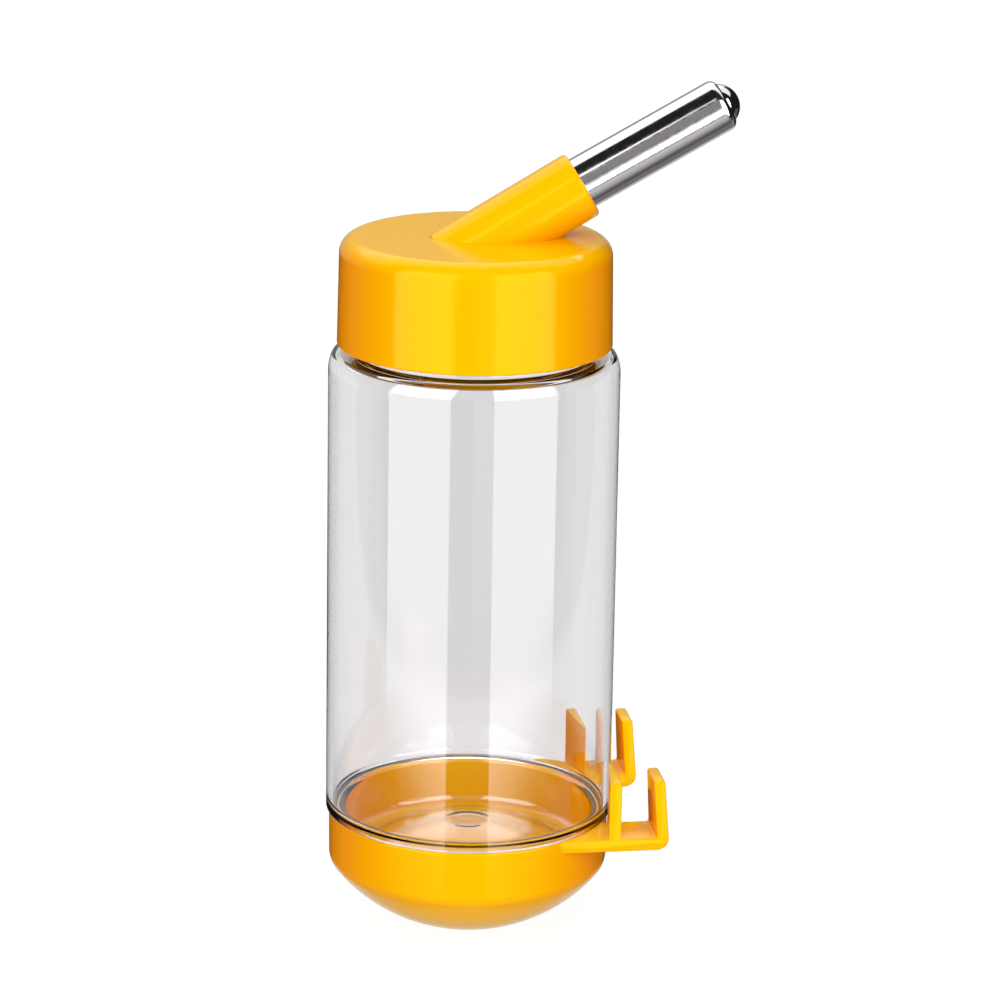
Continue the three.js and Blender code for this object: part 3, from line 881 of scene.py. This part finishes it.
def make_bottle(material):
    wall, edge, lip, fillet = BOTTLE_WALL, BODY_FOOT_EDGE, NECK_EDGE, NECK_FILLET
    bore = NECK_RADIUS - NECK_WALL
    thread_low = NECK_THREAD_START - THREAD_LEAD
    thread_high = NECK_THREAD_START + THREAD_REACH
    ledge = STEP_HEIGHT + LEDGE
    hollow = BODY_FOOT_RADIUS - wall - LEDGE_HOLLOW
    profile = [
        *bottle_bottom(0),
        (SPIGOT_RADIUS, STEP_HEIGHT - STEP_CHAMFER),
        (SPIGOT_RADIUS + STEP_CHAMFER, STEP_HEIGHT),
        *arc(BODY_FOOT_RADIUS - edge, STEP_HEIGHT + edge, edge, -90, 0, 5),
        *bottle_shoulder(0),
        *reversed(arc(NECK_RADIUS + fillet, NECK_FOOT + fillet, fillet, 180, NECK_FILLET_END, 5)),
        *column(NECK_RADIUS, thread_low, thread_high, THREAD_STEPS),
        *arc(NECK_RADIUS - lip, NECK_TOP - lip, lip, 0, 90, 4),
        *arc(bore + lip, NECK_TOP - lip, lip, 90, 180, 4),
        *arc(bore + fillet, NECK_FOOT - wall + fillet, fillet, 180, NECK_FILLET_END, 5),
        *reversed(bottle_shoulder(wall)),
        *reversed(arc(hollow, ledge + LEDGE_HOLLOW, LEDGE_HOLLOW, -90, 0, 10)),
        *arc(SPIGOT_RADIUS - wall + LEDGE_ROUND, ledge - LEDGE_ROUND, LEDGE_ROUND, 90, 180, 8),
        *reversed(bottle_bottom(wall)),
    ]
    relief = thread_relief(NECK_THREAD_START, NECK_RADIUS, NECK_THREAD_CREST)
    body = turned("bottle_clear", profile, ROUND, relief)
    finish_piece(body, "bottle", "bottle_body", material)


# ------------------------------------------------------------------ cap


def make_cap(material):
    start = NECK_THREAD_START - PITCH / 2
    fillet = CAP_BORE_FILLET
    profile = [
        (0, CAP_CEILING),
        *arc(CAP_BORE - fillet, CAP_CEILING - fillet, fillet, 90, 0, 4),
        *column(CAP_BORE, start + THREAD_REACH, start - THREAD_LEAD, THREAD_STEPS),
        (CAP_BORE, CAP_BOTTOM + CAP_BORE_EDGE),
        (CAP_BORE + CAP_BORE_EDGE, CAP_BOTTOM),
        *arc(CAP_BOTTOM_RADIUS - CAP_LIP, CAP_BOTTOM + CAP_LIP, CAP_LIP, -90, 0, 4),
        *arc(CAP_TOP_RADIUS - CAP_EDGE, CAP_TOP - CAP_EDGE, CAP_EDGE, 0, 90, 20),
        (0, CAP_TOP),
    ]
    relief = thread_relief(start, CAP_BORE, CAP_THREAD_CREST)
    cap = turned("cap_moulding", profile, ROUND, relief)

    end = SOCKET_END - SOCKET_EDGE
    socket_profile = [
        (0, SOCKET_START),
        (SOCKET_RADIUS, SOCKET_START),
        *arc(SOCKET_RADIUS - SOCKET_EDGE, end, SOCKET_EDGE, 0, 90, 8),
        (0, SOCKET_END),
    ]
    socket = onto_spout(turned("socket", socket_profile, FINE), SOCKET_ORIGIN, SOCKET_DIRECTION)
    root_profile = [(0, BOSS_END), (BOSS_RADIUS, BOSS_END), (BOSS_RADIUS, SOCKET_END), (0, SOCKET_END)]
    root = onto_spout(turned("root", root_profile, FINE))
    plate = (CAP_CEILING + CAP_TOP) / 2
    above_profile = [(0, plate), (2 * CAP_BORE, plate), (2 * CAP_BORE, 2 * plate), (0, 2 * plate)]
    combine(root, "DIFFERENCE", turned("above", above_profile, 24))

    bore_profile = [
        (0, BOSS_END - PAST),
        (SEAL_BORE, BOSS_END - PAST),
        (SEAL_BORE, SEAL_BORE_END),
        (SPOUT_BORE, SEAL_BORE_END),
        (SPOUT_BORE, SOCKET_END + 2 * PAST),
        (0, SOCKET_END + 2 * PAST),
    ]
    bore = onto_spout(turned("bore", bore_profile, FINE))
    combine(socket, "UNION", root)
    combine(cap, "UNION", socket)
    combine(cap, "DIFFERENCE", bore)
    finish_piece(cap, "cap", "cap_body", material)


def make_gasket(material):
    bottom, top = low("cap_gasket").z, high("cap_gasket").z
    profile = ring_profile(GASKET_BORE, high("cap_gasket").y, bottom, top, GASKET_EDGE, 4)
    gasket = turned("gasket_ring", profile, ROUND)
    finish_piece(gasket, "cap_gasket", "gasket_body", material)


# ------------------------------------------------------------------ drinking tube and valve


def make_tube(material):
    roll_r = TUBE_RADIUS - ROLL_RADIUS
    seat = BALL_RADIUS + SEAT_GAP
    seat_top = math.degrees(math.acos(MOUTH_RADIUS / seat))
    edge = TUBE_REAR_EDGE
    profile = [
        (TUBE_REAR_LIP, TUBE_REAR),
        *arc(TUBE_RADIUS - edge, TUBE_REAR + edge, edge, -90, 0, 5),
        *arc(roll_r, ROLL_HEIGHT, ROLL_RADIUS, 0, ROLL_TURN, 16),
        *arc(0, BALL_HEIGHT, seat, seat_top, 0, 12),
        (TUBE_BORE, BALL_HEIGHT - SEAT_STEP),
        (TUBE_BORE, TUBE_REAR + TUBE_LIP_THICKNESS + TUBE_LIP_SLOPE),
        (TUBE_REAR_LIP, TUBE_REAR + TUBE_LIP_THICKNESS),
    ]
    tube = onto_spout(turned("steel_tube", profile, FINE))
    finish_piece(tube, "drinking_tube", "cap_body", material)


def make_seal(material):
    profile = ring_profile(SEAL_INSIDE, SEAL_OUTSIDE, SEAL_BOTTOM, SEAL_TOP, SEAL_EDGE, 3)
    seal = onto_spout(turned("seal_sleeve", profile, FINE))
    finish_piece(seal, "tube_seal", "cap_body", material)


def make_seat(material):
    """A plug with a ring of holes for the water and a nose that centres the spring."""
    rim, edge = PLUG_RADIUS - PLUG_EDGE, PLUG_EDGE
    tip = PLUG_FRONT + PLUG_NOSE_LENGTH
    profile = [
        (0, PLUG_REAR),
        *arc(rim, PLUG_REAR + edge, edge, -90, 0, 3),
        *arc(rim, PLUG_FRONT - edge, edge, 0, 90, 3),
        (PLUG_NOSE_RADIUS + PLUG_NOSE_CHAMFER, PLUG_FRONT),
        (PLUG_NOSE_RADIUS, PLUG_FRONT + PLUG_NOSE_CHAMFER),
        *arc(PLUG_NOSE_RADIUS - PLUG_NOSE_EDGE, tip - PLUG_NOSE_EDGE, PLUG_NOSE_EDGE, 0, 90, 4),
        (0, tip),
    ]
    plug = turned("spring_plug", profile, FINE)
    rear, front = PLUG_REAR - PAST, PLUG_FRONT + PAST
    hole_profile = [(0, rear), (PLUG_HOLE_RADIUS, rear), (PLUG_HOLE_RADIUS, front), (0, front)]
    for i in range(PLUG_HOLES):
        angle = 2 * math.pi * i / PLUG_HOLES
        hole = turned("hole", hole_profile, 24)
        place = Vector((math.cos(angle), math.sin(angle), 0)) * PLUG_HOLE_CIRCLE * MM
        hole.data.transform(Matrix.Translation(place))
        combine(plug, "DIFFERENCE", hole)
    onto_spout(plug)
    finish_piece(plug, "spring_seat", "cap_body", material)


def make_spring(material):
    """A round wire swept along a helix with closed end coils, its two ends closed by flat discs."""
    mesh = bmesh.new()
    steps, sides = SPRING_TURNS * 40, 12
    closed = (2 * SPRING_WIRE + SPRING_COIL_GAP) * SPRING_TURNS
    rings = []
    for i in range(steps + 1):
        t = i / steps
        opening = min(1.0, max(0.0, (t - SPRING_CLOSED) / (1 - 2 * SPRING_CLOSED)))
        height = SPRING_REAR + closed * t + (SPRING_FRONT - SPRING_REAR - closed) * smooth(opening)
        angle = t * SPRING_TURNS * 2 * math.pi
        out = Vector((math.cos(angle), math.sin(angle), 0))
        centre = out * SPRING_RADIUS + Vector((0, 0, height))
        ring = []
        for k in range(sides):
            round_wire = 2 * math.pi * k / sides
            offset = out * math.cos(round_wire) + Vector((0, 0, math.sin(round_wire)))
            ring.append(mesh.verts.new((centre + SPRING_WIRE * offset) * MM))
        rings.append(ring)
    for first, second in zip(rings, rings[1:]):
        for k in range(sides):
            j = (k + 1) % sides
            mesh.faces.new([first[k], first[j], second[j], second[k]])
    mesh.faces.new(list(reversed(rings[0])))
    mesh.faces.new(rings[-1])
    bmesh.ops.recalc_face_normals(mesh, faces=mesh.faces)
    spring = onto_spout(to_object("coil_spring", mesh))
    finish_piece(spring, "ball_spring", "cap_body", material)
    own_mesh(spring)


def make_ball(material):
    profile = arc(0, BALL_HEIGHT, BALL_RADIUS, -90, 90, 48)
    ball = onto_spout(turned("steel_ball", profile, FINE))
    finish_piece(ball, "tip_ball", "ball_body", material)


# ------------------------------------------------------------------ everything

bpy.context.scene.view_settings.view_transform = "Standard"
make_camera()
make_world()
make_lamp("top_lamp", (0.1, -0.15, 1.4), 4.0)
make_lamp("front_lamp", (-0.2, -1.3, 0.7), 7.0)
make_floor()

yellow = yellow_plastic()
black = rubber()
make_holder(yellow)
make_bottle(clear_plastic())
make_cap(yellow)
make_gasket(black)
make_tube(steel("polished_steel", 0.11))
make_seal(black)
make_seat(white_plastic())
make_spring(steel("spring_steel", 0.25))
make_ball(steel("ball_steel", 0.05))
